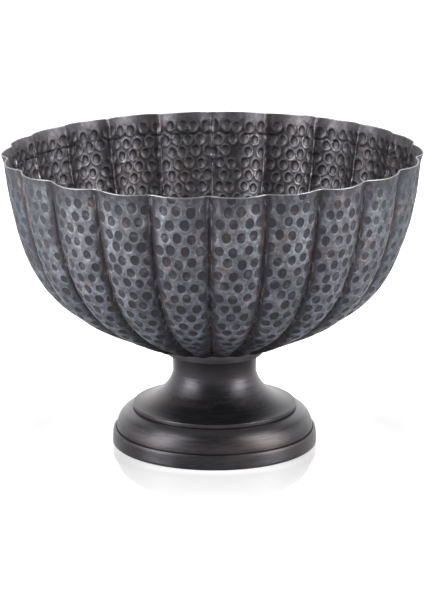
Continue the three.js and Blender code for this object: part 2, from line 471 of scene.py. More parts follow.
def outside_copper():
    """Blackened copper: lands cleaned back a little lighter, punch marks and seams left dark; painted light
    and shade low on the wall, painted sheen at both sides, painted shade under the bowl.
    """
    n = Nodes("outside_copper")
    mark, seam, drop, place = n.wall_facts()
    cloud = n.noise(place, 24.0, 4.0, 0.6)
    patch = n.noise(place, 95.0, 3.0, 0.6)
    fine = n.noise(place, 420.0, 4.0, 0.6)
    # painted sheen towards both sides, by X: the lands are darker and bluer there and the marks fainter
    side_sheen_mask = n.ramp(n.math("ABSOLUTE", n.split(place)[0]), 0.125, 0.185)
    strokes = n.ramp(n.streaky(place, (300.0, 300.0, 55.0), 3.0, 0.6), 0.50, 0.64)

    # lands between the marks, and a lit ring round each mark, both with a ragged edge
    edge = n.plus(mark, n.scaled(patch, 0.34, -0.17))
    land = n.ramp(edge, 0.86, 1.06)
    ring = n.times(land, n.ramp(edge, 1.04, 1.36, 1.0, 0.0))
    # distance from the seam, ragged too and reaching less far low down
    from_seam = n.plus(seam, n.scaled(patch, 5.0, -2.5))
    beside = n.times(from_seam, n.ramp(drop, 0.10, 0.165, 1.0, 0.62))
    off_seam = n.ramp(beside, 2.2, 8.0, 0.02, 1.0)
    # painted light and shade low on the wall: lighter from 100 to 150 mm below the edge, then darker down to
    # 180 mm
    low_wall_light_and_shade = n.times(n.ramp(drop, 0.15, 0.18, 1.0, 0.62), n.ramp(drop, 0.10, 0.15, 1.0, 1.2))
    high_wall = n.ramp(drop, 0.004, 0.030, 0.72, 1.0)

    # broken up by specks, by streaks just below the edge, and by clouds
    speck = n.ramp(n.noise(place, 230.0, 3.0, 0.6), 0.36, 0.64, 0.52, 1.24)
    streaks = n.ramp(n.streaky(place, (190.0, 190.0, 22.0), 4.0, 0.6), 0.36, 0.64, 0.45, 1.15)
    below_edge = n.ramp(drop, 0.010, 0.028, 1.0, 0.0)
    speck = n.times(speck, n.mix(below_edge, WHITE, streaks))
    clouded = n.times(n.ramp(cloud, 0.34, 0.66, 0.55, 1.0), n.ramp(patch, 0.32, 0.68, 0.60, 1.0))

    # lands cleaned back, with the painted light and shade low on the wall and the painted sheen at the sides
    wiped_and_painted_light = n.times(land, off_seam, low_wall_light_and_shade, high_wall, clouded, speck, 0.75)
    lit_ring = n.times(ring, off_seam, n.ramp(patch, 0.34, 0.66, 0.0, 0.23), low_wall_light_and_shade)
    wiped_and_painted_light = n.limited(n.plus(wiped_and_painted_light, lit_ring))
    faint = n.times(n.ramp(patch, 0.50, 0.70, 0.0, 0.25), off_seam)
    side_sheen_fade = n.times(side_sheen_mask, off_seam, 0.18)
    tool_strokes = n.times(strokes, n.ramp(seam, 1.6, 3.6, 0.42, 0.0))
    wiped_and_painted_light = n.most(wiped_and_painted_light, faint, side_sheen_fade, tool_strokes)
    wiped_and_painted_light = n.times(wiped_and_painted_light, n.ramp(fine, 0.3, 0.7, 0.82, 1.0))

    brown = n.ramp(n.noise(place, 60.0, 3.0), 0.54, 0.76, 0.0, 0.6)
    near_seam = n.between(seam, (0.5, 1.0), (1.5, 2.6))
    brown = n.most(brown, n.times(near_seam, n.ramp(cloud, 0.42, 0.60)))
    patina = n.mix(brown, OUTSIDE_BLACK, OUTSIDE_BROWN)
    grey = n.mix(n.ramp(drop, 0.05, 0.14), WIPED_HIGH, WIPED_LOW)
    # painted sheen: the lands take a darker, bluer colour towards both sides
    grey = n.mix(side_sheen_mask, grey, SIDE_SHEEN_GREY)
    silver = n.mix(brown, grey, WIPED_WARM)

    # dark in the seams, except on their very bottom and where the tool rubbed, and painted shade under the
    # bowl
    seam_patina_and_shade = n.times(n.ramp(seam, 0.9, 4.2, 0.70, 0.0), n.ramp(patch, 0.36, 0.62, 0.45, 1.0))
    seam_patina_and_shade = n.times(seam_patina_and_shade, n.ramp(seam, 0.15, 0.8, 0.25, 1.0), n.scaled(strokes, -0.7, 1.0))
    # painted shade on the bowl's underside, from 168 mm below the edge
    seam_patina_and_shade = n.most(seam_patina_and_shade, n.ramp(drop, 0.168, 0.182, 0.0, 0.75))

    color = n.mix(seam_patina_and_shade, n.mix(wiped_and_painted_light, patina, silver), SEAM_PATINA_AND_SHADE_BLACK)
    roughness = n.scaled(fine, 0.12, n.ramp(wiped_and_painted_light, 0.0, 1.0, 0.50, 0.36))
    dent = n.bump(patch, 0.28, 0.0010)
    return n.metal(color, METALLIC, roughness, n.bump(fine, 0.10, 0.0004, dent))


def inside_copper():
    """The inside is browner and darker, and darker still towards +X; the raised rings of the marks catch the
    light; a painted glint right of the middle and painted shade in the crease.
    """
    n = Nodes("inside_copper")
    mark, seam, drop, place = n.wall_facts()
    x = n.split(place)[0]
    cloud = n.noise(place, 26.0, 4.0, 0.55)
    patch = n.noise(place, 90.0, 3.0, 0.6)
    fine = n.noise(place, 420.0, 4.0, 0.6)
    speck = n.ramp(n.noise(place, 200.0, 3.0, 0.6), 0.36, 0.62, 0.38, 1.15)
    broken = n.times(n.ramp(patch, 0.44, 0.56), n.ramp(drop, 0.004, 0.018))

    # rubbed brighter: rings, seam ridges, the middle of marks, the plain top, a line over the crease
    ring = n.times(n.between(mark, (0.80, 1.0), (1.10, 1.30)), n.ramp(drop, 0.006, 0.012, 0.15, 1.0))
    ridge = n.times(n.ramp(seam, 0.4, 1.8, 1.0, 0.0), broken)
    bowl_of_mark = n.ramp(mark, 0.50, 0.95, 1.0, 0.0)
    plain_top = n.ramp(drop, 0.006, 0.014, 1.0, 0.0)
    streaks = n.ramp(n.streaky(place, (190.0, 190.0, 22.0), 4.0, 0.6), 0.36, 0.64, 0.35, 1.1)
    above_crease = n.between(drop, (0.0165, 0.0178), (0.0186, 0.0196))
    rubbed_and_painted_light = n.most(n.times(ring, speck, 0.62), n.times(ridge, speck), n.times(bowl_of_mark, 0.26),
                    n.times(plain_top, streaks, 0.20), n.times(above_crease, broken, 0.34))
    # painted glint: brighter towards +X, most from X 35 to 95 mm
    painted_glint = n.times(n.ramp(x, 0.0, 0.035, 1.0, 1.45), n.ramp(x, 0.095, 0.125, 1.0, 0.75))
    rubbed_and_painted_light = n.limited(n.times(rubbed_and_painted_light, painted_glint, n.ramp(cloud, 0.3, 0.7, 0.50, 1.0)))
    rubbed_and_painted_light = n.most(rubbed_and_painted_light, n.times(n.ramp(patch, 0.34, 0.66, 0.06, 0.26), speck))

    # left dark beside the seams, and painted shade in the crease
    crease = n.between(drop, (0.0192, 0.0204), (0.0210, 0.0226))
    crease = n.times(crease, n.ramp(patch, 0.38, 0.54, 0.0, 0.8))
    beside_seam = n.between(seam, (1.1, 2.0), (4.0, 7.5))
    rubbed_and_painted_light = n.times(rubbed_and_painted_light, n.scaled(n.most(beside_seam, crease), -0.88, 1.0))
    strokes = n.ramp(n.streaky(place, (300.0, 300.0, 70.0), 3.0, 0.6), 0.50, 0.62)
    strokes = n.times(strokes, n.ramp(seam, 1.4, 3.4, 0.75, 0.0), n.ramp(drop, 0.004, 0.018, 0.3, 1.0))
    rubbed_and_painted_light = n.most(rubbed_and_painted_light, strokes)

    brown = n.ramp(n.noise(place, 45.0, 3.0), 0.46, 0.74, 0.0, 0.7)
    patina = n.mix(brown, INSIDE_BLACK, INSIDE_BROWN)
    silver = n.mix(brown, RUBBED_COOL, RUBBED_WARM)
    # darker towards +X: a little from X 30 mm below the top band, more past X 120 mm; and painted shade in
    # the crease
    lower_right_darkening = n.times(n.ramp(x, 0.03, 0.08, 0.0, 0.26), n.ramp(drop, 0.025, 0.045))
    darkening_and_crease_shade = n.most(n.ramp(x, 0.12, 0.175, 0.0, 0.46), lower_right_darkening, n.times(crease, 1.1))
    color = n.mix(darkening_and_crease_shade, n.mix(rubbed_and_painted_light, patina, silver), INSIDE_DARKENING_BLACK)
    roughness = n.scaled(fine, 0.12, n.ramp(rubbed_and_painted_light, 0.0, 1.0, 0.42, 0.30))
    beaten = n.bump(strokes, 0.35, 0.0012)
    return n.metal(color, METALLIC, roughness, n.bump(fine, 0.10, 0.0004, beaten))


def edge_copper():
    n = Nodes("edge_copper")
    fine = n.noise(n.position(), 300.0, 3.0)
    color = n.mix(fine, EDGE_DARK, EDGE_LIGHT)
    return n.metal(color, 0.95, n.ramp(fine, 0.3, 0.7, 0.34, 0.46), n.bump(fine, 0.1, 0.0003))


def spun_copper(name, tone):
    """Blackened spun copper with fine turning lines round the axis and a brown cast in places; a painted
    highlight along the stem's lip and painted shade on the neck under the collar.
    """
    n = Nodes(name)
    radius, height = n.radial()
    place = n.position()
    along = n.plus(n.times(radius, 0.8), height)
    turn = n.times(n.noise(place, 16.0, 2.0), 9.0)
    lines = n.noise(n.combine(n.times(along, 1100.0), turn, 0.0), 1.0, 5.0, 0.7)
    broad = n.noise(n.combine(n.times(along, 110.0), n.noise(place, 12.0), 0.0), 1.0, 4.0, 0.6)
    cloud = n.streaky(place, (14.0, 14.0, 40.0), 4.0, 0.55)
    cast = n.plus(n.times(broad, 0.4), n.times(cloud, 0.6))
    brown = n.ramp(cast, 0.46, 0.62, 0.05, 0.75)
    dark = n.mix(brown, rgb(*SPUN_BLACK, tone), rgb(*SPUN_BROWN, tone))
    light = n.mix(brown, rgb(*SPUN_GREY, tone), rgb(*SPUN_WARM, tone))
    streak = n.plus(n.times(lines, 0.6), n.times(cloud, 0.4))
    skin = n.mix(n.ramp(streak, 0.40, 0.62), dark, light)
    # painted highlight along the stem's lip, and painted shade on the neck, darkest just under the collar
    lip_highlight_mask = n.times(n.ramp(height, 0.029, 0.0335), n.ramp(radius, 0.0789, 0.0796))
    collar_shadow_mask = n.between(height, (0.066, 0.087), (0.0888, 0.0892))
    color = n.mix(collar_shadow_mask, n.mix(lip_highlight_mask, skin, LIP_HIGHLIGHT_GREY), COLLAR_SHADOW_BLACK)
    return n.metal(color, METALLIC, n.scaled(lines, 0.16, 0.30), n.bump(lines, 0.22, 0.0003))


def bare_copper():
    n = Nodes("bare_copper")
    place = n.position()
    cloud = n.noise(place, 70.0, 5.0, 0.6)
    color = n.mix(n.ramp(cloud, 0.35, 0.7), COPPER_CLEAN, COPPER_DULL)
    fine = n.noise(place, 700.0, 3.0)
    return n.metal(color, METALLIC, n.scaled(cloud, 0.3, 0.3), n.bump(fine, 0.15, 0.0003))


def plated_steel():
    n = Nodes("plated_steel")
    place = n.position()
    cloud = n.noise(place, 120.0, 4.0, 0.6)
    color = n.mix(n.ramp(cloud, 0.35, 0.7), ZINC_LIGHT, ZINC_DARK)
    fine = n.noise(place, 900.0, 3.0)
    return n.metal(color, 0.95, n.scaled(cloud, 0.2, 0.28), n.bump(fine, 0.12, 0.0002))


# ---- bowl ----

def seam_angle(index):
    """Azimuth of a seam in degrees, from the front towards +X. Hand work lets a few drift."""
    even = index * 360.0 / FLUTES
    from_drift = (even - DRIFT_MIDDLE + 540) % 360 - 180
    return even - SEAM_DRIFT * bell(from_drift, DRIFT_REACH)


def wall_outline():
    """Crest outline from the floor's rim to the edge, with its arc length and inward normals."""
    wall = cubic(WALL_CURVE, np.linspace(0, LIP_START, 160))
    r0, z0 = wall[-1]
    t = np.linspace(0, 1, 12)[1:]
    lip = np.column_stack([r0 + (RIM_R - r0) * (0.25 * t + 0.75 * t * t), z0 + (RIM_RISE - z0) * t])
    outline, run = resampled(np.vstack([FLOOR_TURN, wall, lip]), 1.0)
    for _ in range(4):
        outline[1:-1] = (outline[:-2] + 2 * outline[1:-1] + outline[2:]) / 4
    slope = unit_slope(outline)
    inward = np.column_stack([-slope[:, 1], slope[:, 0]])
    level = smoothstep(RIM_RISE - 12, RIM_RISE, outline[:, 1])[:, None]
    inward = inward * (1 - level) + np.array([-1.0, 0.0]) * level
    inward /= np.linalg.norm(inward, axis=1)[:, None]
    return outline, run, inward


OUTLINE, RUN, INWARD = wall_outline()
WALL_LENGTH = RUN[-1]


def along_wall(values, s):
    return np.interp(s, RUN, values)


def crest(s):
    """Radius and height of the crest outline."""
    return along_wall(OUTLINE[:, 0], s), along_wall(OUTLINE[:, 1], s)


def flute_width(flute, s):
    """Width of a flute on its crest circle, in millimetres."""
    span = math.radians(seam_angle(flute + 1) - seam_angle(flute))
    return span * crest(s)[0]


def flute_depth(s):
    r, z = crest(s)
    base = FLUTE_DEPTH_BASE * smoothstep(50, 80, r)
    return base + FLUTE_DEPTH_BELLY * smoothstep(2, 52, z) - FLUTE_DEPTH_RIM * smoothstep(92, RIM_RISE, z)


def is_clear(x, y, marks, clearance):
    across, up = clearance
    return all(math.hypot((x - a) / across, (y - b) / up) > 1 for a, b, _ in marks)


def punch_marks(flute):
    """One flute's marks in staggered rows: x across from the crest line, s up the wall, and size."""
    azimuth = (seam_angle(flute + 0.5) + 180) % 360 - 180
    light_blows = 1 - 0.17 * bell(abs(azimuth) - 70, 26)  # smaller marks at both sides
    marks = []
    row = 0
    s = WALL_LENGTH - PLAIN_BAND
    aside = rng.uniform(-3.0, 3.0)
    while s > 6:
        width = float(flute_width(flute, s))
        reach = width / 2 - 1.2
        first = -int(width / MARK_PITCH) - 1
        for k in range(first, -first + 1):
            x = (k + 0.5 * (row % 2)) * MARK_PITCH * 0.96 + aside + rng.uniform(-1.5, 1.5)
            y = s + rng.uniform(-1.3, 1.3)
            if abs(x) < reach and is_clear(x, y, marks, MARK_CLEARANCE):
                marks.append((x, y, rng.uniform(0.90, 1.06) * light_blows))
        row += 1
        s -= ROW_PITCH
    # a stray blow at the edge
    x, y = rng.uniform(-18, 18), WALL_LENGTH - rng.uniform(1.0, 3.0)
    if is_clear(x, y, marks, EDGE_MARK_CLEARANCE):
        marks.append((x, y, 0.95))
    return marks


def distance_to_marks(flute, marks_of, points):
    """How far each (x, s) is from the nearest mark's centre; 1 is on that mark's outline."""
    left, right = (flute - 1) % FLUTES, (flute + 1) % FLUTES
    x, s = points[:, 0], points[:, 1]
    own = flute_width(flute, s)
    shifts = ((marks_of[flute], 0.0), (marks_of[left], -(own + flute_width(left, s)) / 2),
              (marks_of[right], (own + flute_width(right, s)) / 2))
    best = np.full(len(points), 99.0)
    for marks, shift in shifts:
        for a, b, size in marks:
            away = np.hypot((x - (a + shift)) / MARK_HALF_WIDTH, (s - b) / MARK_HALF_HEIGHT) / size
            best = np.minimum(best, away)
    return best


def flute_points(flute, marks_of):
    """Points of one flute's flat pattern: its border first, then rings round each mark and a fill."""
    rows = np.linspace(0, WALL_LENGTH, SEAM_STEPS + 1)
    half = flute_width(flute, rows) / 2
    left = [(-h, s) for h, s in zip(half, rows)]
    right = [(h, s) for h, s in zip(half, rows)]
    top_half, bottom_half = half[-1], half[0]
    top = [(-top_half + 2 * top_half * k / TOP_STEPS, WALL_LENGTH) for k in range(1, TOP_STEPS)]
    bottom = [(-bottom_half + 2 * bottom_half * k / BOTTOM_STEPS, 0.0) for k in range(1, BOTTOM_STEPS)]
    border = left + right + top + bottom

    inner = []
    for offset in SEAM_COLUMNS:
        for s in rows[1:-1]:
            h = float(flute_width(flute, s)) / 2 - offset
            inner += [(-h, s), (h, s)]
    for k in range(1, TOP_STEPS):
        x = (-top_half + 2 * top_half * k / TOP_STEPS) * 0.985
        inner += [(x, WALL_LENGTH - below) for below in EDGE_ROWS]

    for left_or_right in (-1, 0, 1):
        other = (flute + left_or_right) % FLUTES
        for a, b, size in marks_of[other]:
            shift = left_or_right * float(flute_width(flute, b) + flute_width(other, b)) / 2
            for share, count in MARK_RINGS:
                turn = ring_phase(a, b)
                for k in range(count):
                    angle = 2 * math.pi * (k + turn) / count
                    x = a + shift + share * size * MARK_HALF_WIDTH * math.cos(angle)
                    s = b + share * size * MARK_HALF_HEIGHT * math.sin(angle)
                    limit = float(flute_width(flute, s)) / 2 - RING_MARGIN[0]
                    if abs(x) < limit and 1.0 < s < WALL_LENGTH - RING_MARGIN[1]:
                        inner.append((x, s))

    fill = []
    pitch = FILL_SPACING * ROW_SHARE
    for j in range(int(WALL_LENGTH / pitch)):
        s = 1.5 + j * pitch
        limit = float(flute_width(flute, s)) / 2 - FILL_MARGIN[0]
        if s > WALL_LENGTH - FILL_MARGIN[1] or limit <= 0:
            continue
        count = int(limit / FILL_SPACING)
        for k in range(-count - 1, count + 2):
            x = (k + 0.5 * (j % 2)) * FILL_SPACING
            if abs(x) < limit:
                fill.append((x, s))
    fill = np.array(fill)
    clear = distance_to_marks(flute, marks_of, fill) > FILL_CLEARANCE
    return border, inner + [tuple(p) for p in fill[clear]]


def ring_phase(a, b):
    """A fixed part-turn for each mark's ring, so that both flutes it lies in agree."""
    return (a * 7.31 + b * 3.17) % 1.0


def mark_relief(away):
    """Depth of a mark's floor on the outside, and height of its ring and dish on the inside."""
    floor = 1 - smoothstep(0.80, 1.10, away)
    lifted = bell(away - 1.16, 0.13)
    outside = MARK_DEPTH * floor * (0.85 + 0.15 * smoothstep(0.0, 0.8, away)) - 0.10 * lifted
    ring = bell(away - 1.06, 0.19)
    dish = np.clip(1 - (away / 1.02) ** 2, 0, 1)
    inside = 0.60 * ring - 0.60 * dish
    return outside, inside


def wall_points(flute, points, marks_of):
    """Places of (x, s) points on the outside and inside of the wall, with their attributes."""
    x, s = points[:, 0], points[:, 1]
    width = flute_width(flute, s)
    share = np.clip(x / width + 0.5, 0, 1)
    from_seam = 1 - np.abs(2 * share - 1)
    seam_mm = from_seam * width / 2
    start, end = math.radians(seam_angle(flute)), math.radians(seam_angle(flute + 1))
    angle = start + (end - start) * share
    r, z = crest(s)
    nr, nz = along_wall(INWARD[:, 0], s), along_wall(INWARD[:, 1], s)
    near_rim = smoothstep(WALL_LENGTH - 26, WALL_LENGTH, s)
    tip = 0.03 + 0.07 * near_rim
    softened = np.sqrt(from_seam ** 2 + tip ** 2) - tip
    sharp = (1 - softened) ** FLUTE_SHARPNESS
    broad = 0.5 + 0.5 * np.cos(math.pi * from_seam)
    fade = smoothstep(0, 18, s) * (1 - near_rim)
    groove = SEAM_GROOVE * bell(seam_mm, 0.85) - SEAM_LIP * bell(seam_mm - 2.0, 0.8)
    wave = np.sin(angle * 5 + 1.3) * np.sin(s * 0.021 + 0.5) + 0.6 * np.sin(angle * 13 + s * 0.045)
    sink = flute_depth(s) * sharp + (groove + HAND_WAVE * wave) * fade
    rise = SEAM_RISE * smoothstep(RIM_RISE - 60, RIM_RISE, z) * broad
    edge_wave = np.sin(angle * 17 + 0.8) * np.sin(angle * 3)
    rise = rise + EDGE_WAVE * smoothstep(RIM_RISE - 25, RIM_RISE, z) * edge_wave
    away = distance_to_marks(flute, marks_of, points)
    near_edge = 1 - smoothstep(WALL_LENGTH - 8, WALL_LENGTH - 2, s)
    outside, inside = mark_relief(away)
    crease = CREASE_DEPTH * bell(s - (WALL_LENGTH - CREASE_DROP), 1.6)

    def placed(depth):
        rr = r + nr * depth
        zz = z + nz * depth + rise
        return np.column_stack([rr * np.sin(angle), -rr * np.cos(angle), zz])

    outer = placed(sink + outside * near_edge)
    inner = placed(sink + SHEET + inside * near_edge - crease)
    facts = {"mark": away, "seam": seam_mm, "drop": (RIM_RISE - z) * MM}
    return outer, inner, facts


FACTS = ("mark", "seam", "drop")  # what each point of the bowl tells its materials
PLAIN = (3.0, 20.0)  # mark and seam of a point far from any
OUTSIDE, INSIDE, EDGE = 0, 1, 2  # material numbers
EDGE_STEPS = 5
FLOOR_SHARES = (0.86, 0.66, 0.45, 0.22)  # rings of points on the floor, by share of its radius
FLOOR_BULGE = 0.5


class Shell:
    """Gathers the bowl's points with their facts, and its faces with their material numbers."""

    def __init__(self):
        self.points, self.faces, self.kinds = [], [], []
        self.facts = {key: [] for key in FACTS}
        self.size = 0

    def add(self, points, mark, seam, drop):
        """Add points and return their numbers."""
        self.points.append(points)
        for key, value in zip(FACTS, (mark, seam, drop)):
            self.facts[key].append(np.broadcast_to(value, len(points)))
        self.size += len(points)
        return list(range(self.size - len(points), self.size))

    def cover(self, faces, kind):
        self.faces += faces
        self.kinds += [kind] * len(faces)


def border_ring():
    """Numbers of a pattern's border points in order round it."""
    count = SEAM_STEPS + 1
    top = 2 * count
    bottom = top + TOP_STEPS - 1
    ring = list(range(0, count)) + list(range(top, bottom))
    ring += list(range(2 * count - 1, count - 1, -1))
    return ring + list(range(bottom + BOTTOM_STEPS - 2, bottom - 1, -1))


def pattern_triangles(flat, ring):
    """Counter-clockwise triangles of one flat pattern inside its border."""
    edges = [(ring[k - 1], ring[k]) for k in range(len(ring))]
    result = delaunay_2d_cdt([Vector(p) for p in flat], edges, [], 1, 1e-5)
    faces, origin = result[2], result[3]
    triangles = []
    for face in faces:
        ids = [origin[v][0] if origin[v] else None for v in face]
        if None in ids or len(set(ids)) < 3:
            continue
        a, b, c = (flat[i] for i in ids)
        area = (b[0] - a[0]) * (c[1] - a[1]) - (b[1] - a[1]) * (c[0] - a[0])
        triangles.append(ids if area > 0 else ids[::-1])
    return triangles


def make_walls(shell, marks_of):
    """Both skins of all flutes. Returns point numbers round the edge and floor, and one skin's size."""
    count = SEAM_STEPS + 1
    patterns = [flute_points(flute, marks_of) for flute in range(FLUTES)]
    outer, inner, facts, first = [], [], [], [0]
    for flute, (border, filling) in enumerate(patterns):
        own = border[:count] + border[2 * count:] + filling  # the right seam belongs to the next flute
        out_mm, in_mm, values = wall_points(flute, np.array(own), marks_of)
        outer.append(out_mm)
        inner.append(in_mm)
        facts.append(values)
        first.append(first[-1] + len(own))
    facts = [np.concatenate([values[key] for values in facts]) for key in FACTS]
    shell.add(np.vstack(outer), *facts)
    shell.add(np.vstack(inner), *facts)

    ring = border_ring()
    triangles = []
    for flute, (border, filling) in enumerate(patterns):
        left, right = first[flute], first[(flute + 1) % FLUTES]
        index = list(range(left, left + count)) + list(range(right, right + count))
        index += list(range(left + count, first[flute + 1]))
        triangles += [[index[i] for i in ids] for ids in pattern_triangles(border + filling, ring)]
    total = first[-1]
    shell.cover(triangles, OUTSIDE)
    shell.cover([[total + i for i in reversed(ids)] for ids in triangles], INSIDE)

    edge, base = [], []
    for start in first[:-1]:
        top = start + count
        bottom = top + TOP_STEPS - 1
        edge += [top - 1] + list(range(top, bottom))
        base += [start] + list(range(bottom, bottom + BOTTOM_STEPS - 1))
    return edge, base, total


def make_edge(shell, edge, total):
    """A half-round edge from the outer to the inner skin."""
    inner_edge = [total + i for i in edge]
    points = np.vstack(shell.points)
    middle = (points[edge] + points[inner_edge]) / 2
    rows = [edge]
    for k in range(1, EDGE_STEPS):
        phi = math.pi * k / EDGE_STEPS
        row = middle + (points[edge] - middle) * math.cos(phi)
        row[:, 2] += SHEET / 2 * math.sin(phi)
        rows.append(shell.add(row, *PLAIN, 0.0))
    rows.append(inner_edge)
    for low, high in zip(rows, rows[1:]):
        shell.cover(strip(low, high), EDGE)


def close_bottom(shell, base, total):
    """A disc at the bottom of each skin, a little domed on the inside."""
    points = np.vstack(shell.points)
    for kind, shift in ((OUTSIDE, 0), (INSIDE, total)):
        ring = [shift + i for i in base]
        source = points[ring]
        level = source[:, 2].mean()
        dome = FLOOR_BULGE if kind == INSIDE else 0.0
        rows = [ring]
        for share in FLOOR_SHARES:
            row = source * np.array([share, share, 0.0])
            row[:, 2] = level + dome * math.cos(share * math.pi / 2)
            rows.append(shell.add(row, *PLAIN, RIM_RISE * MM))
        pole = shell.add(np.array([[0.0, 0.0, level + dome]]), *PLAIN, RIM_RISE * MM)
        rows.append(pole * len(ring))
        for wide, narrow in zip(rows, rows[1:]):
            shell.cover(strip(narrow, wide) if kind == OUTSIDE else strip(wide, narrow), kind)


def make_bowl(looks):
    """Outside and inside skins from one flat pattern per flute, joined by a rounded edge and a floor."""
    shell = Shell()
    marks_of = [punch_marks(flute) for flute in range(FLUTES)]
    edge, base, total = make_walls(shell, marks_of)
    make_edge(shell, edge, total)
    close_bottom(shell, base, total)

    points = np.vstack(shell.points)
    lean = math.radians(BOWL_LEAN)
    x, z = points[:, 0].copy(), points[:, 2].copy()
    points[:, 0] = x * math.cos(lean) - z * math.sin(lean) + BOWL_SHIFT
    points[:, 2] = x * math.sin(lean) + z * math.cos(lean) + span_mm("bowl")[0]
    bowl = make_mesh("bowl_shell", points, shell.faces, looks)
    bowl.data.polygons.foreach_set("material_index", shell.kinds)
    for key in FACTS:
        layer = bowl.data.attributes.new(key, "FLOAT", "POINT")
        layer.data.foreach_set("value", np.concatenate(shell.facts[key]).astype(np.float32))
    return ready(bowl, "hammered_copper", "bowl")


# ---- foot ----

def span_mm(node):
    """Lowest and highest point of a CAD node."""
    low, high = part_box(node)
    return low[2] / MM, high[2] / MM


def make_collar(look):
    """Ring with a ledge inside, against which the stem's top edge bears."""
    low, high = span_mm("neck_collar")
    ledge = high - 4.5
    bore, ledge_bore = STEM_TOP_R + GAP, 37.5
    outline = rounded(
        [(bore, low), (46.5, low), (47.6, low + 4.7), (COLLAR_TOP_R, high),
         (ledge_bore, high), (ledge_bore, ledge), (bore, ledge)],
        [0, 0.9, 3.0, 0.4, 0.3, 0.2, 0.2])
    return ready(turned("collar_ring", outline, look, 192, 1.2), "spun_copper", "neck_collar")


def foot_turned(name, outline, look):
    return turned(name, outline, look, segments=224, longest=1.6)


def make_stem(look):
    """Neck, flare and hemmed lip as one sheet; the outside runs down, the inside back up."""
    lip_low, top = span_mm("stem")
    waist = top - WAIST_DROP
    lip_high = lip_low + 4.3
    neck = [(STEM_TOP_R, top), (STEM_TOP_R, top - 3.5), (40.75, top - 7),
            (40.45, top - 12), (40.25, top - 16)]
    flare_curve = ((WAIST_R, waist), (WAIST_R, waist - 11.9), (54.8, lip_low + 8.25), (LIP_HEM_R, lip_high))
    outside = np.vstack([neck, cubic(flare_curve, np.linspace(0, 1, 60))])
    inside = offset_sheet(outside, SPUN)
    lip = rounded([(LIP_HEM_R, lip_high), (LIP_R, lip_low + 4.1), (LIP_R, lip_low), (75.4, lip_low),
                   (74.9, lip_low + 2.4)], [0, 1.15, 0.5, 0.5, 0.3], closed=False)
    outline = [tuple(p) for p in outside[:-1]] + lip + [tuple(p) for p in inside[:-2][::-1]]
    return ready(foot_turned("spun_stem", outline[::-1], look), "spun_copper", "stem")


def make_skirt(look):
    """Quarter-round sheet with a flat top that runs in under the stem's lip."""
    low, high = span_mm("foot_skirt")
    shoulder = ((SKIRT_R, high - 19.0), (94.4, high - 11.5), (90.0, high - 1.2), (80.0, high))
    outside = np.vstack([[(SKIRT_R, low), (SKIRT_R, low + 7)], cubic(shoulder, np.linspace(0, 1, 30))])
    inside = offset_sheet(outside, -SPUN)
    inside[0] = (SKIRT_R - SPUN, low)
    outline = [tuple(p) for p in outside]
    outline += [(71.3, high), (71.0, high - 0.3), (71.0, high - 1.0), (71.3, high - SPUN)]
    outline += [tuple(p) for p in inside[::-1]]
    return ready(foot_turned("spun_skirt", outline, look), "spun_copper", "foot_skirt")


def make_base(look):
    """Band round the skirt's lower edge, a little narrower at the top."""
    low, high = span_mm("base_ring")
    bore = SKIRT_R + GAP
    outline = rounded(
        [(bore, low), (98.5, low), (BASE_R, low + 2.2), (98.2, high - 3.0), (97.5, high - 0.2),
         (95.5, high - 0.05), (bore, high - 0.4)],
        [0.3, 0.7, 3.0, 3.0, 1.1, 0.15, 0.15])
    return ready(foot_turned("base_band", outline, look), "spun_copper", "base_ring")


# ---- fastening ----

def make_disc(look):
    low, high = span_mm("backing_disc")
    outline = rounded([(0.0, low), (DISC_R, low), (DISC_R, high), (0.0, high)], [0, 0.7, 0.3, 0])
    return ready(turned("braze_disc", outline, look, 96), "bare_copper", "backing_disc")


def make_stud(look):
    """Headed stud with a real M8 thread over its lower part."""
    low, high = span_mm("stud")
    segments, per_pitch = 28, 8
    thread_top = low + 32.0
    under_head = high - 2.5
    heights = np.arange(low + 0.6, thread_top, THREAD_PITCH / per_pitch)
    # (radius, height, whether the thread is cut there)
    loops = [(0.0, low, False), (3.1, low, False)]
    loops += [(STUD_R, z, True) for z in heights]
    loops += [(r, z, False) for r, z in (
        (STUD_R, thread_top + 0.5), (STUD_R, high - 3.0), (4.6, under_head), (8.6, under_head),
        (9.0, high - 2.1), (9.0, high - 0.3), (8.7, high), (0.0, high))]
    verts, rows = [], []
    for r, z, cut in loops:
        if r == 0:
            rows.append([len(verts)] * segments)
            verts.append((0.0, 0.0, z))
            continue
        rows.append(list(range(len(verts), len(verts) + segments)))
        ends = min(1.0, max(0.0, (z - low) / 1.5)) * min(1.0, max(0.0, (thread_top - z) / 1.5))
        start_cut = 0.5 * (1 - min(1.0, (z - low) / 1.2)) if cut else 0.0
        for k in range(segments):
            angle = 2 * math.pi * k / segments
            phase = ((z / THREAD_PITCH) - k / segments) % 1.0
            groove = abs(2 * phase - 1) * 0.62 * cut * ends
            rr = r - groove - start_cut
            verts.append((rr * math.sin(angle), -rr * math.cos(angle), z))
    faces = []
    for low_row, high_row in zip(rows, rows[1:]):
        faces += strip(low_row, high_row)
    return ready(crisp_mesh("threaded_stud", verts, faces, look, CRISP_ANGLE), "steel", "stud")


def make_clamp_plate(look):
    """Flat in the middle, dished down to a rim that bears on the stem."""
    low, high = span_mm("clamp_plate")
    under = high - 2
    outline = rounded(
        [(HOLE_R, under), (33.6, under), (37.4, high - 2.7), (39.9, low), (40.9, low + 0.5),
         (40.6, low + 1.5), (37.9, high - 0.6), (34.0, high), (HOLE_R, high)],
        [0.2, 4, 3, 0.4, 0.4, 0.5, 3, 4, 0.2])
    return ready(turned("dished_plate", outline, look, 128, 3.0), "steel", "clamp_plate")


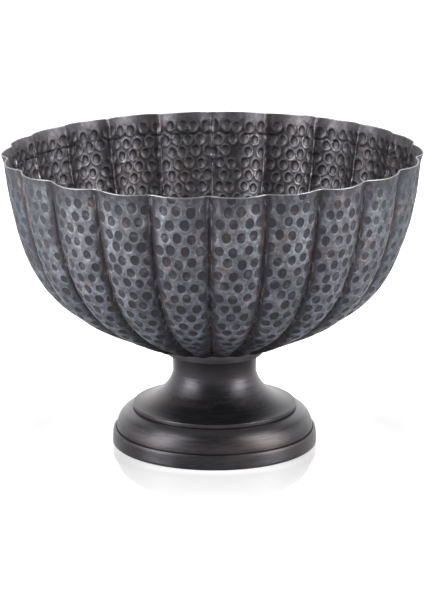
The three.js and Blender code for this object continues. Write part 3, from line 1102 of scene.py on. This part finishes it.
def make_washer(look):
    low, high = span_mm("flat_washer")
    outline = rounded([(HOLE_R, low), (WASHER_R, low), (WASHER_R, high), (HOLE_R, high)],
                      [0.15, 0.35, 0.2, 0.15])
    return ready(turned("plain_washer", outline, look, 72), "steel", "flat_washer")


def make_spring_washer(look):
    """Square wire wound just short of a turn, corners softened, ends a little apart in height."""
    low = span_mm("spring_washer")[0]
    steps, sweep, rise = 72, math.radians(344), 0.4
    outer_r, thickness = 7.2, 2.0
    section = rounded([(HOLE_R, 0.0), (outer_r, 0.0), (outer_r, thickness), (HOLE_R, thickness)], [0.25] * 4)
    count = len(section)
    verts, faces = [], []
    for k in range(steps + 1):
        angle = sweep * k / steps
        for r, z in section:
            verts.append((r * math.cos(angle), r * math.sin(angle), low + z + rise * k / steps))
    for k in range(steps):
        for j in range(count):
            n = (j + 1) % count
            a, b = k * count + j, k * count + n
            faces.append([a, a + count, b + count, b])
    faces.append(list(range(count)))
    faces.append(list(range(steps * count + count - 1, steps * count - 1, -1)))
    return ready(crisp_mesh("split_washer", verts, faces, look, 50), "steel", "spring_washer")


def make_nut(look):
    """Hexagon whose corners are cut back by a cone at both ends, with a countersunk bore."""
    low, high = span_mm("hex_nut")
    segments = 144
    bore_r, sink_r, sink_depth = 4.3, 4.8, 0.6
    height = high - low
    half_flats = NUT_ACROSS_FLATS / 2
    cone_start, cone_slope, cone_height = 0.955 * half_flats, 1.73, 1.3
    levels = np.concatenate([np.linspace(0, cone_height, 8),
                             np.linspace(cone_height, height - cone_height, 4)[1:-1],
                             np.linspace(height - cone_height, height, 8)])
    verts, rows = [], []

    def ring(radius_of, z):
        rows.append(list(range(len(verts), len(verts) + segments)))
        for k in range(segments):
            angle = 2 * math.pi * k / segments
            r = radius_of(angle)
            verts.append((r * math.cos(angle), r * math.sin(angle), low + z))

    def hexagon(angle):
        folded = (angle + math.pi / 6) % (math.pi / 3) - math.pi / 6
        return half_flats / math.cos(math.pi / 6 - abs(folded))

    ring(lambda a: bore_r, sink_depth)
    ring(lambda a: sink_r, 0.0)
    for z in levels:
        cone = cone_start + min(z, height - z) * cone_slope
        ring(lambda a, c=cone: min(hexagon(a), c), z)
    ring(lambda a: sink_r, height)
    ring(lambda a: bore_r, height - sink_depth)
    faces = []
    for low_row, high_row in pairs_round(rows):
        faces += strip(low_row, high_row)
    return ready(crisp_mesh("hexagon_nut", verts, faces, look, 25), "steel", "hex_nut")


# ---- stage ----

LIGHT_TARGET = (0.0, 0.0, 0.15)


def make_floor():
    """A white board, glossy where the object stands, that glows enough to stay white in its shadow."""
    mesh = bpy.data.meshes.new("floor")
    half = 9.0
    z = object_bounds()[0][2] - 0.0002
    corners = [(-half, -half, z), (half, -half, z), (half, half, z), (-half, half, z)]
    mesh.from_pydata(corners, [], [(0, 1, 2, 3)])
    n = Nodes("pale_floor")
    radius = n.radial()[0]
    x, y, _ = n.split(n.position())
    n.put(n.mix(n.noise(n.position(), 40.0, 2.0), rgb(0.50, 0.50, 0.50), rgb(0.52, 0.52, 0.52)),
          n.bsdf.inputs["Base Color"])
    n.bsdf.inputs["Roughness"].default_value = 0.06
    n.put(n.ramp(radius, 0.13, 0.20, 0.55, 0.0), n.bsdf.inputs["Specular IOR Level"])

    left = n.ramp(n.times(x, -1.0), 0.16, 0.50, 0.0, 2.3)
    right = n.ramp(x, 0.16, 0.42, 0.0, 0.9)
    aside = n.times(n.plus(left, right), n.ramp(y, -0.05, 0.22, 1.0, 0.0))
    far_aside = n.ramp(n.math("ABSOLUTE", x), 0.27, 0.42, 1.0, 0.0)
    behind = n.times(n.ramp(y, 0.05, 0.26, 0.0, 0.65), far_aside)
    foot_shadow = n.ramp(radius, 0.099, 0.118, 0.24, 0.04)
    bowl_shadow = n.times(n.between(radius, (0.175, 0.21), (0.25, 0.33)), 0.26)
    open_floor = n.ramp(radius, 0.11, 1.60, 0.0, 0.75)
    n.bsdf.inputs["Emission Color"].default_value = WHITE
    n.put(n.plus(open_floor, foot_shadow, bowl_shadow, aside, behind), n.bsdf.inputs["Emission Strength"])
    mesh.materials.append(n.material)
    floor = bpy.data.objects.new("floor", mesh)
    bpy.context.scene.collection.objects.link(floor)


def make_light(name, place, size, power):
    """A soft box that faces the middle of the object."""
    data = bpy.data.lights.new(name, "AREA")
    data.shape = "RECTANGLE"
    data.size, data.size_y = size
    data.energy = power
    lamp = bpy.data.objects.new(name, data)
    lamp.location = place
    lamp.rotation_euler = (Vector(LIGHT_TARGET) - Vector(place)).to_track_quat("-Z", "Y").to_euler()
    bpy.context.scene.collection.objects.link(lamp)


def make_world():
    """A pale room whose ceiling is darker than its walls."""
    world = bpy.data.worlds.new("studio")
    bpy.context.scene.world = world
    world.use_nodes = True
    tree = world.node_tree
    back = tree.nodes["Background"]
    coord = tree.nodes.new("ShaderNodeTexCoord")
    split = tree.nodes.new("ShaderNodeSeparateXYZ")
    ramp = tree.nodes.new("ShaderNodeValToRGB")
    tree.links.new(coord.outputs["Generated"], split.inputs[0])
    tree.links.new(split.outputs[2], ramp.inputs[0])
    tree.links.new(ramp.outputs[0], back.inputs[0])
    ramp.color_ramp.elements[0].position = 0.34
    ramp.color_ramp.elements[0].color = (1.0, 1.0, 1.0, 1.0)
    ramp.color_ramp.elements[1].position = 0.62
    ramp.color_ramp.elements[1].color = (0.15, 0.15, 0.16, 1.0)
    front = tree.nodes.new("ShaderNodeMapRange")
    front.interpolation_type = "SMOOTHSTEP"
    tree.links.new(split.outputs[1], front.inputs["Value"])
    set_range(front, -0.5, 0.35, 0.85, 2.2)
    tree.links.new(front.outputs["Result"], back.inputs[1])


def make_camera():
    data = bpy.data.cameras.new("camera")
    data.lens = CAMERA_LENS
    data.sensor_width = 36.0
    data.sensor_fit = "AUTO"
    data.clip_end = 100.0
    camera = bpy.data.objects.new("camera", data)
    turn = Matrix.Rotation(math.radians(90 - CAMERA_PITCH), 4, "X")
    camera.matrix_world = Matrix.Translation(CAMERA_PLACE) @ turn
    bpy.context.scene.collection.objects.link(camera)
    bpy.context.scene.camera = camera


make_camera()
make_world()
make_floor()
make_light("left_box", (-2.25, -1.0, 1.35), (1.6, 2.9), 170.0)
make_light("right_box", (2.3, -0.9, 1.35), (1.5, 2.9), 165.0)

make_bowl([outside_copper(), inside_copper(), edge_copper()])
# One spun finish at three tones: painted light and shade, lightest on the collar, darkest on the skirt and
# base band.
make_collar(spun_copper("spun_copper_collar", 1.55))
make_stem(spun_copper("spun_copper_stem", 1.3))
skirt_look = spun_copper("spun_copper_skirt", 1.08)
make_skirt(skirt_look)
make_base(skirt_look)
make_disc(bare_copper())
steel = plated_steel()
make_stud(steel)
make_clamp_plate(steel)
make_washer(steel)
make_spring_washer(steel)
make_nut(steel)

bpy.context.scene.view_settings.view_transform = "Standard"
